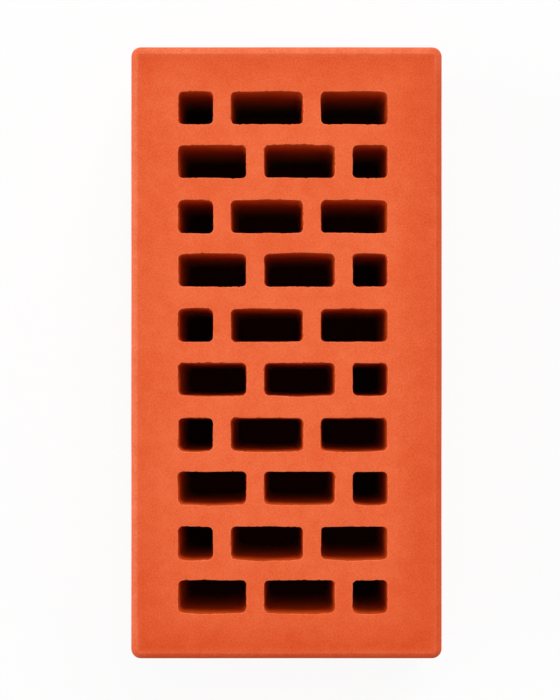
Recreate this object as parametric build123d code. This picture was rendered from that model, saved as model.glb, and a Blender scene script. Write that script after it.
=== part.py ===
"""A perforated clay brick, lying on its lower bed face.

The clay was shaped around the cores of a mould, which taper so that they draw out of the upper bed face.
So the slots run through from bed to bed and narrow a little on the way down. The edges were rounded, and
the brick was fired in one piece.

Frame, in millimetres: the origin is the centre of the lower bed face, +X runs across the width, +Y along
the length and +Z up, the way the slots run. The rows of slots are counted from the +Y end.
"""

import os

from build123d import *

# The fired block
LENGTH = 240.0
WIDTH = 122.0
HEIGHT = 65.0
CORNER_RADIUS = 3.8  # the four upright corners
ARRIS_RADIUS = 2.7  # the edges round both bed faces

# The clay left between the slots and the faces of the block, at the upper bed face
END_WALL = 17.9  # from a header face to the nearest row of slots
LEFT_SHELL = 18.6  # from the -X stretcher face to the slots
RIGHT_SHELL = 21.45  # from the +X stretcher face to the slots
CROSS_WEB = 7.05  # between two slots of one row

# The slots, at the upper bed face
ROW_COUNT = 10
SLOT_BREADTH = 12.6  # along the brick's length
SHORT_SLOT = 13.6  # the one short slot of each row, across the brick's width
ODD_WEB_SHIFT = 1.1  # how far the web between the long slots of an odd row stands off towards +X
EVEN_WEB_SHIFT = 0.5  # how far the web between the long slots of an even row stands off towards -X
EVEN_ROW_SHIFT = 0.3  # how far the even rows stand off towards +Y
SLOT_CORNER_RADIUS = 1.8
SLOT_DRAFT = 1.6  # how far each wall leans in on its way down, in degrees
MOUTH_RADIUS = 0.5  # the edge round each end of a slot

# The two long slots of a row share what the shells, the webs and the short slot leave of the width.
LONG_SLOT = (WIDTH - LEFT_SHELL - RIGHT_SHELL - SHORT_SLOT - 2 * CROSS_WEB) / 2
ODD_ROW = (SHORT_SLOT, LONG_SLOT + ODD_WEB_SHIFT, LONG_SLOT - ODD_WEB_SHIFT)
EVEN_ROW = (LONG_SLOT - EVEN_WEB_SHIFT, LONG_SLOT + EVEN_WEB_SHIFT, SHORT_SLOT)

# The rows are spread between the two end walls.
FIRST_ROW_Y = LENGTH / 2 - END_WALL - SLOT_BREADTH / 2
ROW_PITCH = 2 * FIRST_ROW_Y / (ROW_COUNT - 1)


def slot_places():
    """Yields (row, place in the row, centre x, centre y, length across the width) of every slot."""
    for row in range(1, ROW_COUNT + 1):
        lengths, shift = (ODD_ROW, 0) if row % 2 else (EVEN_ROW, EVEN_ROW_SHIFT)
        y = FIRST_ROW_Y - (row - 1) * ROW_PITCH + shift
        left = LEFT_SHELL - WIDTH / 2
        for place, length in enumerate(lengths, start=1):
            yield row, place, left + length / 2, y, length
            left += length + CROSS_WEB


def slot_core(length):
    """The core that leaves one slot, standing at the origin."""
    core = extrude(Rectangle(length, SLOT_BREADTH), HEIGHT)
    walls = core.faces().filter_by(Axis.Z, reverse=True)
    core = draft(walls, Plane.XY.offset(HEIGHT), -SLOT_DRAFT)
    corners = [edge for edge in core.edges() if edge.bounding_box().size.Z > HEIGHT / 2]
    return fillet(corners, SLOT_CORNER_RADIUS)


def shaped_clay():
    """The block with every slot in it, its upright corners rounded and the other edges still sharp."""
    block = extrude(RectangleRounded(WIDTH, LENGTH, CORNER_RADIUS), HEIGHT)
    return block - [Pos(x, y) * slot_core(length) for _, _, x, y, length in slot_places()]


def round_arrises(brick):
    """Rounds the outer edge of both bed faces."""
    beds = brick.faces().filter_by(Axis.Z)
    return fillet([edge for bed in beds for edge in bed.outer_wire().edges()], ARRIS_RADIUS)


def round_mouths(brick):
    """Rounds the edge of every slot in both bed faces."""
    mouths = [mouth for bed in brick.faces().filter_by(Axis.Z) for mouth in bed.inner_wires()]
    return fillet([edge for mouth in mouths for edge in mouth.edges()], MOUTH_RADIUS)


brick = round_mouths(round_arrises(shaped_clay()))

os.makedirs("parts", exist_ok=True)
export_step(brick, "parts/brick.step")
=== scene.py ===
import math

import bmesh
import bpy
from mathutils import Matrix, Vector, noise


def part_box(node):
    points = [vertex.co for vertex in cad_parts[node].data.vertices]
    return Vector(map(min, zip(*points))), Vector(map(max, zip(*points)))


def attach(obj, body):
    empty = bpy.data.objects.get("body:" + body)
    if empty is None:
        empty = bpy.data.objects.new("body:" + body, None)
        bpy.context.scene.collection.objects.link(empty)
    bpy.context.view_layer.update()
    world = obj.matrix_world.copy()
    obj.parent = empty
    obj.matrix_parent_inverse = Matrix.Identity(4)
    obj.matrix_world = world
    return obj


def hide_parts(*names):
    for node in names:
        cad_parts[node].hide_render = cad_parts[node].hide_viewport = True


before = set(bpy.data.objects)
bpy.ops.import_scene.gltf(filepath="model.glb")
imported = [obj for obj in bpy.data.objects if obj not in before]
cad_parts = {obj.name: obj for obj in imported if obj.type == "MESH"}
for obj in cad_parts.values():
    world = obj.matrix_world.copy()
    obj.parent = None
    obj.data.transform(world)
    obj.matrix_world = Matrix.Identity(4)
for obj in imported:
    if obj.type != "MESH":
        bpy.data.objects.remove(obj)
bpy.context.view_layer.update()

# The block is one lump of stiff clay, shaped in a mould and fired. The mould rounds its upright corners,
# and the edges of both bed faces are rolled soft before firing.
MM = 0.001
TINY = 0.001 * MM  # a length too small to count
LOW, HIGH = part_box("brick")
SIZE = HIGH - LOW
CORNER_RADIUS = 3.8 * MM
ARRIS_RADIUS = 2.7 * MM
ROUND_STEPS = 8
SKIN_PITCH = 4 * MM  # the mesh of the faces, fine enough to carry their unevenness


def upright(edge):
    """Whether an edge stands along the brick's height."""
    return abs(edge.verts[0].co.z - edge.verts[1].co.z) > edge.calc_length() / 2


def round_edges(bm, edges, radius, steps):
    """Rounds edges of a mesh to a radius."""
    bmesh.ops.bevel(
        bm, geom=edges, offset=radius, affect="EDGES", segments=steps, profile=0.5, material=-1
    )


def slice_across(bm, axis, places):
    """Cuts edges into a mesh where planes square to an axis cross it."""
    normal = Vector.Fill(3)
    normal[axis] = 1
    for place in places:
        geom = bm.verts[:] + bm.edges[:] + bm.faces[:]
        bmesh.ops.bisect_plane(bm, geom=geom, dist=TINY, plane_co=normal * place, plane_no=normal)


block = bmesh.new()
bmesh.ops.create_cube(block, size=1)
bmesh.ops.scale(block, vec=SIZE, verts=block.verts)
bmesh.ops.translate(block, vec=(LOW + HIGH) / 2, verts=block.verts)
round_edges(block, [edge for edge in block.edges if upright(edge)], CORNER_RADIUS, ROUND_STEPS)
round_edges(block, [edge for edge in block.edges if not upright(edge)], ARRIS_RADIUS, ROUND_STEPS)
for axis in range(3):
    cells = round(SIZE[axis] / SKIN_PITCH)
    slice_across(block, axis, [LOW[axis] + SIZE[axis] * cell / cells for cell in range(1, cells)])

# The slots are where the cores of the mould stood in the clay, three to a row and the rows staggered.
# The cores taper, to draw out of the upper bed face. The clay gave way a little along their longer sides
# and tore a little at the mouths.
ROW_COUNT = 10
END_WALL = 17.9 * MM
LEFT_SHELL = 18.6 * MM
RIGHT_SHELL = 21.45 * MM
CROSS_WEB = 7.05 * MM
SLOT_BREADTH = 12.6 * MM
SHORT_SLOT = 13.6 * MM
ODD_WEB_SHIFT = 1.1 * MM
EVEN_WEB_SHIFT = 0.5 * MM
EVEN_ROW_SHIFT = 0.3 * MM
SLOT_CORNER_RADIUS = 1.8 * MM
SLOT_CORNER_STEPS = 5
SLOT_DRAFT = math.radians(1.6)  # how far each wall leans in on its way down
LONG_SLOT = (SIZE.x - LEFT_SHELL - RIGHT_SHELL - SHORT_SLOT - 2 * CROSS_WEB) / 2
ODD_ROW = (SHORT_SLOT, LONG_SLOT + ODD_WEB_SHIFT, LONG_SLOT - ODD_WEB_SHIFT)
EVEN_ROW = (LONG_SLOT - EVEN_WEB_SHIFT, LONG_SLOT + EVEN_WEB_SHIFT, SHORT_SLOT)
FIRST_ROW_Y = SIZE.y / 2 - END_WALL - SLOT_BREADTH / 2
ROW_PITCH = 2 * FIRST_ROW_Y / (ROW_COUNT - 1)

MOUTH_WIDTH = 0.35 * MM  # the rubbed edge of a mouth, across and down
MOUTH_DROP = 0.2 * MM
MOUTH_STEPS = 3
CORE_STEP = 0.5 * MM  # the mesh along a wall
CORE_OVERRUN = 1.5 * MM  # how far a core runs past both bed faces
WALL_DEPTHS = [depth * MM for depth in (0.8, 2, 6, 16)]  # the rings of points below a mouth
SHRINK = 0.05 * MM  # all round a slot
BULGE = 0.4 * MM  # at the middle of the long side that faces away from the middle of the brick
LOWER_GIVE = 0.6  # how much more of it the last row has, and how much less the first
WAVE = 0.26 * MM  # slow waves along a wall
WAVE_PITCH = 9 * MM
STREAK = 0.05 * MM  # drag lines that run the way the cores were drawn
STREAK_PITCH = 1.3 * MM
STREAK_LENGTH = 40 * MM
NICK = 0.8 * MM  # crumbs torn out of a mouth
NICK_PITCH = 1.2 * MM
NICK_DEPTH = 0.8 * MM
NICK_FLOOR = 0.1  # how much of the noise leaves the mouth whole


def slot_places():
    """Yields the centre and length of every slot, row by row from the +Y end."""
    for row in range(1, ROW_COUNT + 1):
        lengths, shift = (ODD_ROW, 0) if row % 2 else (EVEN_ROW, EVEN_ROW_SHIFT)
        left = LOW.x + LEFT_SHELL
        for length in lengths:
            yield Vector((left + length / 2, FIRST_ROW_Y - (row - 1) * ROW_PITCH + shift, 0)), length
            left += length + CROSS_WEB


def bed_depth(point):
    """How far a point lies below the nearer bed face."""
    return min(point.z - LOW.z, HIGH.z - point.z)


def mouth_levels():
    """Yields the depths at which a core has a ring of points, from a bed face to the brick's middle."""
    for step in range(MOUTH_STEPS + 1):
        yield MOUTH_DROP * (1 - math.cos(math.pi / 2 * step / MOUTH_STEPS))
    yield from WALL_DEPTHS
    yield SIZE.z / 2


def mouth_flare(depth):
    """How far the rounded mouth stands back from the wall below it."""
    rise = 1 - min(max(depth, 0), MOUTH_DROP) / MOUTH_DROP
    return MOUTH_WIDTH * (1 - math.sqrt(1 - rise ** 2))


def wall_shift(point, centre, half_length, outward):
    """How far the clay stands back from a core at a point of its wall."""
    depth = bed_depth(point)
    along = (point.x - centre.x) / half_length
    far_side = max(0, outward.y * math.copysign(1, centre.y))
    give = BULGE * (1 + noise.noise(centre / LONG_SLOT) - LOWER_GIVE * centre.y / FIRST_ROW_Y)
    bulge = give * far_side * math.cos(math.pi / 2 * along)
    wave = WAVE * noise.noise(point / WAVE_PITCH)
    drag = Vector((point.x, point.y, point.z * STREAK_PITCH / STREAK_LENGTH)) / STREAK_PITCH
    tear = max(0, noise.noise(point / NICK_PITCH) - NICK_FLOOR) / (1 - NICK_FLOOR)
    nick = NICK * tear * math.exp(-max(depth, 0) / NICK_DEPTH)
    return SHRINK + mouth_flare(depth) + bulge + wave + STREAK * noise.noise(drag) + nick


def slot_core(centre, length):
    """A core of the mould as a closed mesh, in its place, with the shape that the clay took around it."""
    core = bmesh.new()
    bmesh.ops.create_cube(core, size=1)
    bmesh.ops.scale(core, vec=(length, SLOT_BREADTH, SIZE.z + 2 * CORE_OVERRUN), verts=core.verts)
    bmesh.ops.translate(core, vec=centre + Vector((0, 0, (LOW.z + HIGH.z) / 2)), verts=core.verts)
    round_edges(core, [edge for edge in core.edges if upright(edge)], SLOT_CORNER_RADIUS, SLOT_CORNER_STEPS)
    straight = Vector((length, SLOT_BREADTH)) - Vector((2, 2)) * SLOT_CORNER_RADIUS
    for axis in range(2):
        runs = [
            edge for edge in core.edges
            if abs(edge.verts[0].co[axis] - edge.verts[1].co[axis]) > straight[axis] - TINY
        ]
        bmesh.ops.subdivide_edges(core, edges=runs, cuts=round(straight[axis] / CORE_STEP) - 1)
    levels = list(mouth_levels())
    slice_across(core, 2, [LOW.z + level for level in levels] + [HIGH.z - level for level in levels])
    for vert in core.verts:
        off = vert.co - centre
        nearest = Vector([max(-run / 2, min(run / 2, value)) for run, value in zip(straight, off)])
        outward = (off.xy - nearest).normalized()
        lean = (HIGH.z - vert.co.z) * math.tan(SLOT_DRAFT)
        vert.co.xy += outward * wall_shift(vert.co, centre, length / 2, outward)
        vert.co.xy -= Vector([value * lean / (run / 2) for run, value in zip(straight, nearest)])
    return core


def add_object(name, bm):
    """Puts a finished mesh into the scene as an object."""
    mesh = bpy.data.meshes.new(name)
    bm.to_mesh(mesh)
    bm.free()
    made = bpy.data.objects.new(name, mesh)
    bpy.context.scene.collection.objects.link(made)
    return made


cores = bmesh.new()
for centre, length in slot_places():
    core = slot_core(centre, length)
    core_mesh = bpy.data.meshes.new("core")
    core.to_mesh(core_mesh)
    core.free()
    cores.from_mesh(core_mesh)
    bpy.data.meshes.remove(core_mesh)

brick = add_object("fired_brick", block)
mould = add_object("mould_cores", cores)
cut = brick.modifiers.new("slots", "BOOLEAN")
cut.operation = "DIFFERENCE"
cut.solver = "EXACT"
cut.object = mould
cut_mesh = bpy.data.meshes.new_from_object(brick.evaluated_get(bpy.context.evaluated_depsgraph_get()))
brick.modifiers.clear()
brick.data = cut_mesh
bpy.data.objects.remove(mould)

# The skin of the brick is what drying and firing make of the wet clay: no face of it stays quite flat.
# The rims of the upper mouths are rubbed pale and painted as a highlight, and every point of the mesh keeps
# its share of that.
UNEVEN = 0.12 * MM  # slow hollows of a face, always inwards
UNEVEN_PITCH = 50 * MM
RIPPLE = 0.05 * MM  # and quicker ones
RIPPLE_PITCH = 11 * MM
RIM_PALE_DEPTH = 0.3 * MM  # how far down a rim is rubbed pale and painted as a highlight
WELD = 0.01 * MM  # points of the cut mesh that lie closer than this become one


def settled(point):
    """Where a point of the wet clay lies in the fired brick."""
    fired = point.copy()
    for axis in range(3):
        reach = (point[axis] - (LOW[axis] + HIGH[axis]) / 2) / (SIZE[axis] / 2)
        face = point.copy()
        face[axis] = math.copysign(SIZE[axis], reach)
        slow = UNEVEN * (1 + noise.noise(face / UNEVEN_PITCH)) / 2
        quick = RIPPLE * (1 + noise.noise(face / RIPPLE_PITCH)) / 2
        fired[axis] -= reach * (slow + quick)
    return fired


# The rubbed pale rims also carry a painted highlight along the upper mouths.
def rim_paleness(point):
    """How far a point of a slot stands out on the rim of its upper mouth, from 0 to 1."""
    depth = HIGH.z - point.z
    return max(0, 1 - depth / RIM_PALE_DEPTH) if depth > TINY else 0


skin = bmesh.new()
skin.from_mesh(brick.data)
bmesh.ops.remove_doubles(skin, verts=skin.verts, dist=WELD)
rim_pale_layer = skin.verts.layers.float.new("rim_wear_and_highlight")
for vert in skin.verts:
    vert[rim_pale_layer] = rim_paleness(vert.co)
    vert.co = settled(vert.co)
for face in skin.faces:
    face.smooth = True
skin.to_mesh(brick.data)
skin.free()
brick.modifiers.new("flat_faces", "WEIGHTED_NORMAL")

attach(brick, "root")
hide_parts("brick")

# The clay fires to an orange red, a little paler among the slots than in the shell round them. Painted
# shade darkens it towards the +X side and the -Y end, which face away from the light. It has a fine sandy
# grain. The arrises of -X and +Y carry a painted highlight and the others painted shade; the crests and the
# upper mouths' rims are rubbed pale and painted as highlights. Down the slots painted shade darkens it with
# depth.
CLAY_WEB = (0.838, 0.1355, 0.0440, 1)
CLAY_SHELL = (0.703, 0.0800, 0.0190, 1)
# Pale colour of the painted highlight on the -X and +Y arrises, and of the rubbed and painted crests and
# rims.
CLAY_WEAR_AND_HIGHLIGHT = (0.875, 0.20, 0.088, 1)
# The painted shade of the arrises at +X and -Y, the sides away from the light.
CLAY_SHADED_ARRIS = (0.695, 0.088, 0.0245, 1)
# Painted shade down the slots: first the deep colour, then the dark one.
CLAY_SLOT_SHADE = (0.70, 0.076, 0.004, 1)
CLAY_SLOT_DARK_SHADE = (0.14, 0.055, 0.004, 1)
ROUGHNESS, SAND_ROUGHNESS = 0.8, 0.2
SPECULAR = 0.08

SHELL_FADE = (-4 * MM, 20 * MM)  # out from the slots, where the shell's colour comes in
SIDE_SHELL = 0.53  # how much of that colour the sides take
SIDE_SHADE_LEAN = 0.27  # painted shade: how much more of it the +X side, away from the light, takes than the -X side
END_SHELL = 0.83
# Painted shade: how much of the shell's colour the rows towards the -Y end take.
LOWER_END_SHADE = 0.26
LOWER_SHADE_ROWS = (-100 * MM, -50 * MM)  # along the brick, where the webs towards the -Y end begin to take it too, as painted shade

SLOT_ZONE = (8 * MM, 12 * MM)  # in from the outline, nearer than the nearest slot
WALL_SHADE = 0.8  # how much of the deep painted shade a wall has from its mouth on
SHADE_HALF = 6 * MM  # how far down a wall has half turned from the clay's own colour to the deep painted shade
DARK_SHADE_HALF = 48 * MM  # and half turned from that to the dark painted shade
FOOT_FADE = (40 * MM, 80 * MM)  # where the painted shade turns quite dark
LOWER_SHADE_SPEED = 60  # how much sooner the painted shade darkens a wall from the lower bed face
FIRST_ROWS = (50 * MM, 110 * MM)  # along the brick, where the painted shade begins to darken the walls sooner too
FIRST_ROWS_SHADE_SPEED = 0.6  # how much sooner

LIT_SIDE_FADE = (-8 * MM, 8 * MM)  # across the corners where the sides with the painted highlight, -X and +Y, meet those with painted shade
LIT_ARRIS_WIDTH = (1.9 * MM, 3.15 * MM)  # of the painted highlight on an arris, in from the outline and down from a bed face
# The painted shade on an arris, in from the outline and down from a bed face.
SHADED_ARRIS_WIDTH = (2.0 * MM, 2.6 * MM)
END_ARRIS = 0.4 * MM  # how much broader the painted highlight on an arris is at the ends
CREST_INSET = 2.62 * MM  # the line near which an arris turns into its bed face
CREST_FADE = (0, 0.45 * MM)  # to both sides of it
EDGE_RISE = (CREST_INSET - CREST_FADE[1], CREST_INSET)  # the pale edge of a bed face, rubbed and painted as a highlight, in from that line
EDGE_FADE = (CREST_INSET, CREST_INSET + 2.8 * MM)
RIM_FADE = (0.1, 0.6)  # as a mouth turns from its bed face into the wall
ARRIS_HIGHLIGHT, ARRIS_PATCHES = 0.66, 0.2  # how strong the painted highlight on an arris is, and how much that varies
# How pale the crests are, rubbed and painted as a highlight, and how much that varies.
CREST_WEAR_AND_HIGHLIGHT, CREST_PATCHES = 0.12, 0.25
SIDE_EDGE, END_EDGE = 0.08, 0.15  # how pale the edge of a bed face is, rubbed and painted as a highlight, and how much more at the ends
# How pale the rims of the upper mouths are, rubbed and painted as a highlight.
RIM_WEAR_AND_HIGHLIGHT = 0.8

CLOUD_PITCH = 18 * MM  # the grain of the clay, from slow clouds down to its sand
BLOTCH_PITCH = 5 * MM
SPECK_PITCH = 1.7 * MM
SAND_PITCH = 0.65 * MM
DRAG_PITCH = 1.6 * MM  # the drag lines down every upright face
DRAG_SQUEEZE = (1, 1, 0.04)  # which draws them out to 25 times their width
GRAIN_DETAIL = 2
MOTTLE_DARK = (0.97, 0.90, 0.84, 1)  # what the clouds and blotches make of the clay's colour
MOTTLE_PALE = (1.03, 1.10, 1.16, 1)
CLOUD_TONE, BLOTCH_TONE = 2.2, 1.7  # how strongly each of them shows
GRAIN_DARK = (0.985, 0.80, 0.5, 1)  # and what the finer grain makes of it
GRAIN_PALE = (1.015, 1.20, 1.5, 1)
SPECK_TONE, SAND_TONE, DRAG_TONE = 0.2, 2.6, 0.7
BLOTCH_RELIEF, SPECK_RELIEF, SAND_RELIEF, DRAG_RELIEF = 0.6, 0.5, 0.6, 1.2
RELIEF_STRENGTH = 0.09
RELIEF_HEIGHT = 0.15 * MM


class Shade:
    """One output of a shader node. Arithmetic on it adds Math nodes to its tree."""

    def __init__(self, tree, output=None):
        self.tree = tree
        self.output = output

    def node(self, kind, settings, inputs, output=0):
        """Adds a node: sets its settings first, then the values or links of its sockets."""
        made = self.tree.nodes.new(kind)
        for name, value in settings.items():
            setattr(made, name, value)
        for name, value in inputs.items():
            if isinstance(value, Shade):
                self.tree.links.new(value.output, made.inputs[name])
            else:
                made.inputs[name].default_value = value
        return Shade(self.tree, made.outputs[output] if made.outputs else None)

    def math(self, operation, *values):
        """Adds a Math node."""
        return self.node("ShaderNodeMath", {"operation": operation}, dict(enumerate(values)))

    def __add__(self, other):
        return self.math("ADD", self, other)

    __radd__ = __add__

    def __sub__(self, other):
        return self.math("SUBTRACT", self, other)

    def __rsub__(self, other):
        return self.math("SUBTRACT", other, self)

    def __mul__(self, other):
        return self.math("MULTIPLY", self, other)

    __rmul__ = __mul__

    def __abs__(self):
        return self.math("ABSOLUTE", self)


def new_tree(owner):
    """Gives a material or a world an empty node tree and wraps it."""
    owner.use_nodes = True
    owner.node_tree.nodes.clear()
    return Shade(owner.node_tree)


MIX_FACTOR, MIX_A, MIX_B, MIX_RESULT = 0, 6, 7, 2  # the sockets of a Mix node that mixes colours


def mix_colour(tree, factor, a, b, blend="MIX"):
    """The colour between a and b, or what another blend makes of them."""
    inputs = {MIX_FACTOR: factor, MIX_A: a, MIX_B: b}
    return tree.node("ShaderNodeMix", {"data_type": "RGBA", "blend_type": blend}, inputs, MIX_RESULT)


clay = bpy.data.materials.new("fired_clay")
tree = new_tree(clay)
place = tree.node("ShaderNodeTexCoord", {}, {}, "Object")
normal = tree.node("ShaderNodeNewGeometry", {}, {}, "Normal")
on_side = 1 - abs(tree.node("ShaderNodeSeparateXYZ", {}, {"Vector": normal}, "Z"))
x, y, z = (tree.node("ShaderNodeSeparateXYZ", {}, {"Vector": place}, name) for name in "XYZ")


def fade(value, limits):
    """1 below both limits, 0 above them and smooth between."""
    inputs = {"Value": value, "From Min": limits[0], "From Max": limits[1], "To Min": 1, "To Max": 0}
    return tree.node("ShaderNodeMapRange", {"interpolation_type": "SMOOTHSTEP"}, inputs)


def grain(pitch, vector=place):
    """Noise with blobs of about a size, above and below 0."""
    inputs = {"Vector": vector, "Scale": 1 / pitch, "Detail": GRAIN_DETAIL}
    return tree.node("ShaderNodeTexNoise", {}, inputs, "Fac") - 0.5


over_x = abs(x) - (SIZE.x / 2 - CORNER_RADIUS)
over_y = abs(y) - (SIZE.y / 2 - CORNER_RADIUS)
past_x = tree.math("MAXIMUM", over_x, 0)
past_y = tree.math("MAXIMUM", over_y, 0)
past_corner = tree.math("SQRT", past_x * past_x + past_y * past_y)
inset = CORNER_RADIUS - past_corner - tree.math("MINIMUM", tree.math("MAXIMUM", over_x, over_y), 0)
beside = abs(x - (LEFT_SHELL - RIGHT_SHELL) / 2) - (SIZE.x - LEFT_SHELL - RIGHT_SHELL) / 2
beyond = abs(y) - (SIZE.y / 2 - END_WALL)
depth = tree.math("MINIMUM", z - LOW.z, HIGH.z - z)
shade_depth = tree.math("MINIMUM", (z - LOW.z) * LOWER_SHADE_SPEED, HIGH.z - z)
shade_depth = shade_depth * (1 + (1 - fade(y, FIRST_ROWS)) * FIRST_ROWS_SHADE_SPEED)

drawn = tree.node("ShaderNodeMapping", {}, {"Vector": place, "Scale": DRAG_SQUEEZE})
clouds = grain(CLOUD_PITCH)
blotches = grain(BLOTCH_PITCH)
specks = grain(SPECK_PITCH)
sand = grain(SAND_PITCH)
drag_lines = grain(DRAG_PITCH, drawn) * on_side
mottle = 0.5 + clouds * CLOUD_TONE + blotches * BLOTCH_TONE
tone = 0.5 + specks * SPECK_TONE + sand * SAND_TONE + drag_lines * DRAG_TONE

# The +X side and the -Y end take more of the shell's colour as painted shade.
sides = (1 - fade(beside, SHELL_FADE)) * (SIDE_SHELL + x * (SIDE_SHADE_LEAN / SIZE.x))
ends = (1 - fade(beyond, SHELL_FADE)) * END_SHELL
shell_and_shade = tree.math("SQRT", sides * sides + ends * ends) + fade(y, LOWER_SHADE_ROWS) * LOWER_END_SHADE

rim_wear_and_highlight = tree.node("ShaderNodeAttribute", {"attribute_name": "rim_wear_and_highlight"}, {}, "Fac")
in_slot = 1 - fade(inset, SLOT_ZONE)
on_bed = fade(depth, CREST_FADE)
# The -X and +Y arrises, which face the light, carry a painted highlight, and the others painted shade.
lit_side = fade(x - y * (SIZE.x / SIZE.y), LIT_SIDE_FADE)
lip = inset - (1 - fade(beyond, SHELL_FADE)) * END_ARRIS
lit_arris = fade(tree.math("MAXIMUM", lip, depth), LIT_ARRIS_WIDTH) * lit_side
shaded_arris = fade(tree.math("MAXIMUM", inset, depth), SHADED_ARRIS_WIDTH) * (1 - lit_side)
# The crests, the edges of the bed faces and the upper mouths' rims are rubbed pale and painted as
# highlights.
crest = fade(abs(inset - CREST_INSET), CREST_FADE) * on_bed
bed_edge = (1 - fade(inset, EDGE_RISE)) * fade(inset, EDGE_FADE) * on_bed
rim = rim_wear_and_highlight * in_slot * fade(on_side, RIM_FADE)
wear_and_highlight = lit_arris * (ARRIS_HIGHLIGHT + blotches * ARRIS_PATCHES)
wear_and_highlight = wear_and_highlight + crest * (CREST_WEAR_AND_HIGHLIGHT + blotches * CREST_PATCHES)
wear_and_highlight = wear_and_highlight + bed_edge * (SIDE_EDGE + ends * END_EDGE) + rim * RIM_WEAR_AND_HIGHLIGHT

# Painted shade down the slots, darker with depth, and sooner from the lower bed face and in the first rows.
slot_shade = 1 - tree.math("POWER", 0.5, shade_depth * (1 / SHADE_HALF)) * (1 - on_side * WALL_SHADE)
slot_dark_shade = 1 - tree.math("POWER", 0.5, shade_depth * (1 / DARK_SHADE_HALF)) * fade(shade_depth, FOOT_FADE)

colour = mix_colour(tree, shell_and_shade, CLAY_WEB, CLAY_SHELL)
colour = mix_colour(tree, shaded_arris, colour, CLAY_SHADED_ARRIS)
colour = mix_colour(tree, wear_and_highlight, colour, CLAY_WEAR_AND_HIGHLIGHT)
colour = mix_colour(tree, slot_shade * in_slot, colour, CLAY_SLOT_SHADE)
colour = mix_colour(tree, slot_dark_shade * in_slot, colour, CLAY_SLOT_DARK_SHADE)
colour = mix_colour(tree, 1, colour, mix_colour(tree, mottle, MOTTLE_DARK, MOTTLE_PALE), "MULTIPLY")
colour = mix_colour(tree, 1, colour, mix_colour(tree, tone, GRAIN_DARK, GRAIN_PALE), "MULTIPLY")
roughness = ROUGHNESS + sand * SAND_ROUGHNESS
relief = blotches * BLOTCH_RELIEF + specks * SPECK_RELIEF + sand * SAND_RELIEF + drag_lines * DRAG_RELIEF
bump = tree.node(
    "ShaderNodeBump", {},
    {"Strength": RELIEF_STRENGTH, "Distance": RELIEF_HEIGHT, "Height": relief},
)
surface = tree.node(
    "ShaderNodeBsdfPrincipled", {},
    {"Base Color": colour, "Roughness": roughness, "Specular IOR Level": SPECULAR, "Normal": bump},
)
tree.node("ShaderNodeOutputMaterial", {}, {"Surface": surface})
brick.data.materials.clear()
brick.data.materials.append(clay)

# The floor is a plain white sheet of paper that the brick lies on. To the eye it is mostly white of its
# own, so that the brick's soft shadow stays faint on it. Under the brick it is painted shade, dark and
# tinted like the clay, for a floor that only gets the light that comes down the slots.
FLOOR_REACH = 3.0  # metres, from the brick's middle to each side
FLOOR_WHITE = (0.93, 0.93, 0.93, 1)
WHITE = (1, 1, 1, 1)
OWN_WHITE = 0.9  # how much of its look is white of its own
# Painted shade under the brick, dark and tinted like the clay.
UNDER_BRICK_SHADE = (0.05, 0.005, 0.001, 1)

sheet = bmesh.new()
bmesh.ops.create_grid(sheet, x_segments=1, y_segments=1, size=FLOOR_REACH)
floor = add_object("floor", sheet)
paper = bpy.data.materials.new("floor_white")
tree = new_tree(paper)
floor_place = tree.node("ShaderNodeTexCoord", {}, {}, "Object")
off_x = abs(tree.node("ShaderNodeSeparateXYZ", {}, {"Vector": floor_place}, "X"))
off_y = abs(tree.node("ShaderNodeSeparateXYZ", {}, {"Vector": floor_place}, "Y"))
clear_x = tree.math("GREATER_THAN", off_x, SIZE.x / 2 - ARRIS_RADIUS)
clear_y = tree.math("GREATER_THAN", off_y, SIZE.y / 2 - ARRIS_RADIUS)
clear = tree.math("MAXIMUM", clear_x, clear_y)


def seen_directly(tree):
    """1 for what the camera, a reflection or a look through glass meets, and 0 for light on its way."""
    camera_ray = tree.node("ShaderNodeLightPath", {}, {}, "Is Camera Ray")
    glossy_ray = tree.node("ShaderNodeLightPath", {}, {}, "Is Glossy Ray")
    transmission_ray = tree.node("ShaderNodeLightPath", {}, {}, "Is Transmission Ray")
    return tree.math("MAXIMUM", tree.math("MAXIMUM", camera_ray, glossy_ray), transmission_ray)


matt = tree.node("ShaderNodeBsdfDiffuse", {}, {"Color": mix_colour(tree, clear, UNDER_BRICK_SHADE, FLOOR_WHITE)})
glow = tree.node("ShaderNodeEmission", {}, {"Color": WHITE, "Strength": 1.0})
look = tree.node("ShaderNodeMixShader", {}, {0: seen_directly(tree) * clear * OWN_WHITE, 1: matt, 2: glow})
tree.node("ShaderNodeOutputMaterial", {}, {"Surface": look})
floor.data.materials.append(paper)

# The light is that of a grey room and of four soft boxes on stands: one overhead, and a low one beyond the
# upper edge, the left edge and the right edge of the picture. The shares of the boxes and the room on the
# upper bed face add up to about one, so that a colour looks about as it is written.
UPPER_BED = Vector((0, 0, HIGH.z))
ROOM_GREY = (0.31, 0.31, 0.31, 1)


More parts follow.
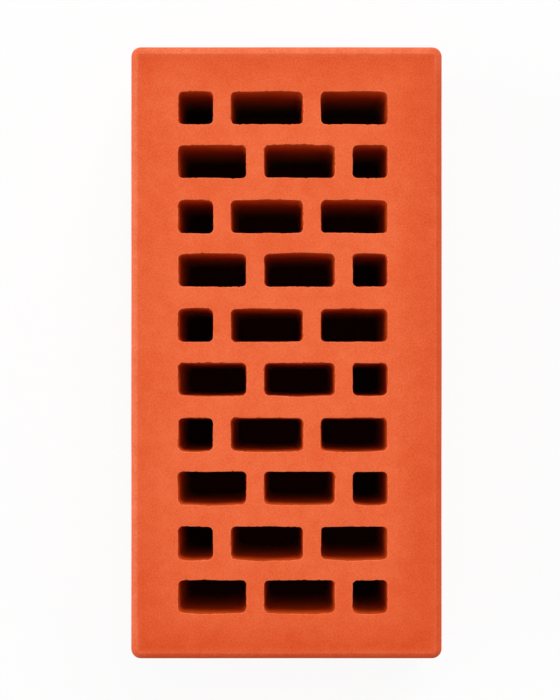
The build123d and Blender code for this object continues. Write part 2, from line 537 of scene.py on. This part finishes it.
def soft_box(name, bearing, elevation, distance, size, share):
    """A square lamp that looks at the upper bed face. The bearing is clockwise from +Y, seen from above."""
    turn, rise = math.radians(bearing), math.radians(elevation)
    aim = Vector((math.sin(turn) * math.cos(rise), math.cos(turn) * math.cos(rise), math.sin(rise)))
    lamp = bpy.data.lights.new(name, "AREA")
    lamp.shape = "SQUARE"
    lamp.size = size
    # The watts that light a level white face by this share of its own white.
    lamp.energy = share * math.pi ** 2 * distance ** 2 / math.sin(rise)
    made = bpy.data.objects.new(name, lamp)
    made.location = UPPER_BED + aim * distance
    made.rotation_euler = aim.to_track_quat("Z", "Y").to_euler()
    made.visible_camera = False
    bpy.context.scene.collection.objects.link(made)


soft_box("light_overhead", bearing=0, elevation=84, distance=4, size=3, share=0.265)
soft_box("light_upper", bearing=15, elevation=34, distance=6, size=3.5, share=0.265)
soft_box("light_left", bearing=-88, elevation=25, distance=4, size=2.3, share=0.20)
soft_box("light_right", bearing=80, elevation=15, distance=4, size=2.3, share=0.06)

world = bpy.data.worlds.new("room")
bpy.context.scene.world = world
tree = new_tree(world)
grey = mix_colour(tree, seen_directly(tree), ROOM_GREY, WHITE)
air = tree.node("ShaderNodeBackground", {}, {"Color": grey, "Strength": 1.0})
tree.node("ShaderNodeOutputWorld", {}, {"Surface": air})
bpy.context.scene.view_settings.view_transform = "Standard"

# The camera looks straight down on the upper bed face from 0.8 m, with the brick's length upright in the
# picture. It hangs a little towards the picture's lower edge from the brick's middle, and its shift brings
# the brick back to its place in the picture.
CAMERA_HEIGHT = 800 * MM  # above the upper bed face
PICTURE_HEIGHT = 273.88 * MM  # the long side of the picture, on the upper bed face
PICTURE_CENTRE = Vector((-2.53, 1.06)) * MM  # from the brick's middle, as is the camera's place
CAMERA_PLACE = Vector((0.5, -15.5)) * MM

camera_data = bpy.data.cameras.new("camera")
camera_data.sensor_fit = "AUTO"
camera_data.lens = camera_data.sensor_width * CAMERA_HEIGHT / PICTURE_HEIGHT
camera_data.shift_x, camera_data.shift_y = (PICTURE_CENTRE - CAMERA_PLACE) / PICTURE_HEIGHT
camera = bpy.data.objects.new("camera", camera_data)
camera.location = UPPER_BED + Vector((*CAMERA_PLACE, CAMERA_HEIGHT))
bpy.context.scene.collection.objects.link(camera)
bpy.context.scene.camera = camera
